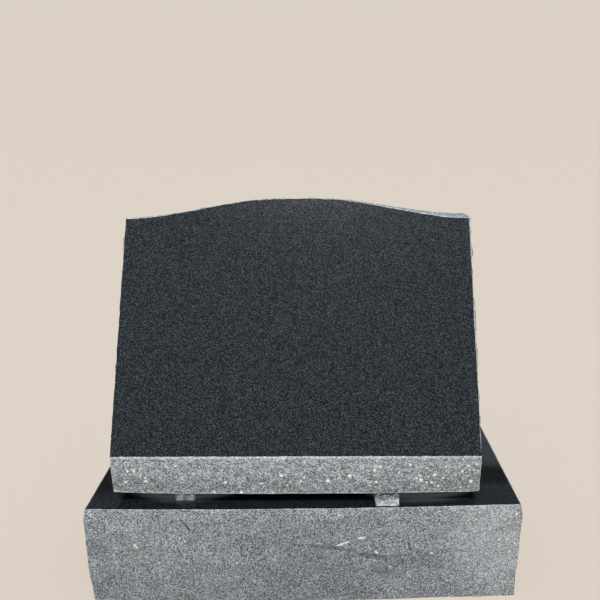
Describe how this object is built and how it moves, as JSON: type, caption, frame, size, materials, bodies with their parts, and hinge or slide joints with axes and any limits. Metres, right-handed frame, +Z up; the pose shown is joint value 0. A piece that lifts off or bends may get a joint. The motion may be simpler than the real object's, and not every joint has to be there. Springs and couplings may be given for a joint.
{
  "type": "slant headstone",
  "caption": "Wedge-shaped granite headstone with a bare polished slanted face and serpentine top, standing on bearers on a rock-pitched base.",
  "frame": {"origin": "middle of the base's underside, on the surface that the headstone stands on", "axes": "+Z up, +X to the right of a reader of the slanted face, -Y towards the reader"},
  "size_m": [0.7339, 0.3304, 0.66],
  "materials": {
    "tablet_granite": "fine dark grey granite, polished on the slanted face and rock-pitched light grey elsewhere",
    "base_granite": "rock-pitched light grey granite, polished near black on the top",
    "bearer_granite": "rough split light grey granite"
  },
  "bodies": {
    "root": {"base": "base_granite", "tablet": "tablet_granite", "left_bearer": "bearer_granite", "right_bearer": "bearer_granite"}
  },
  "joints": []
}
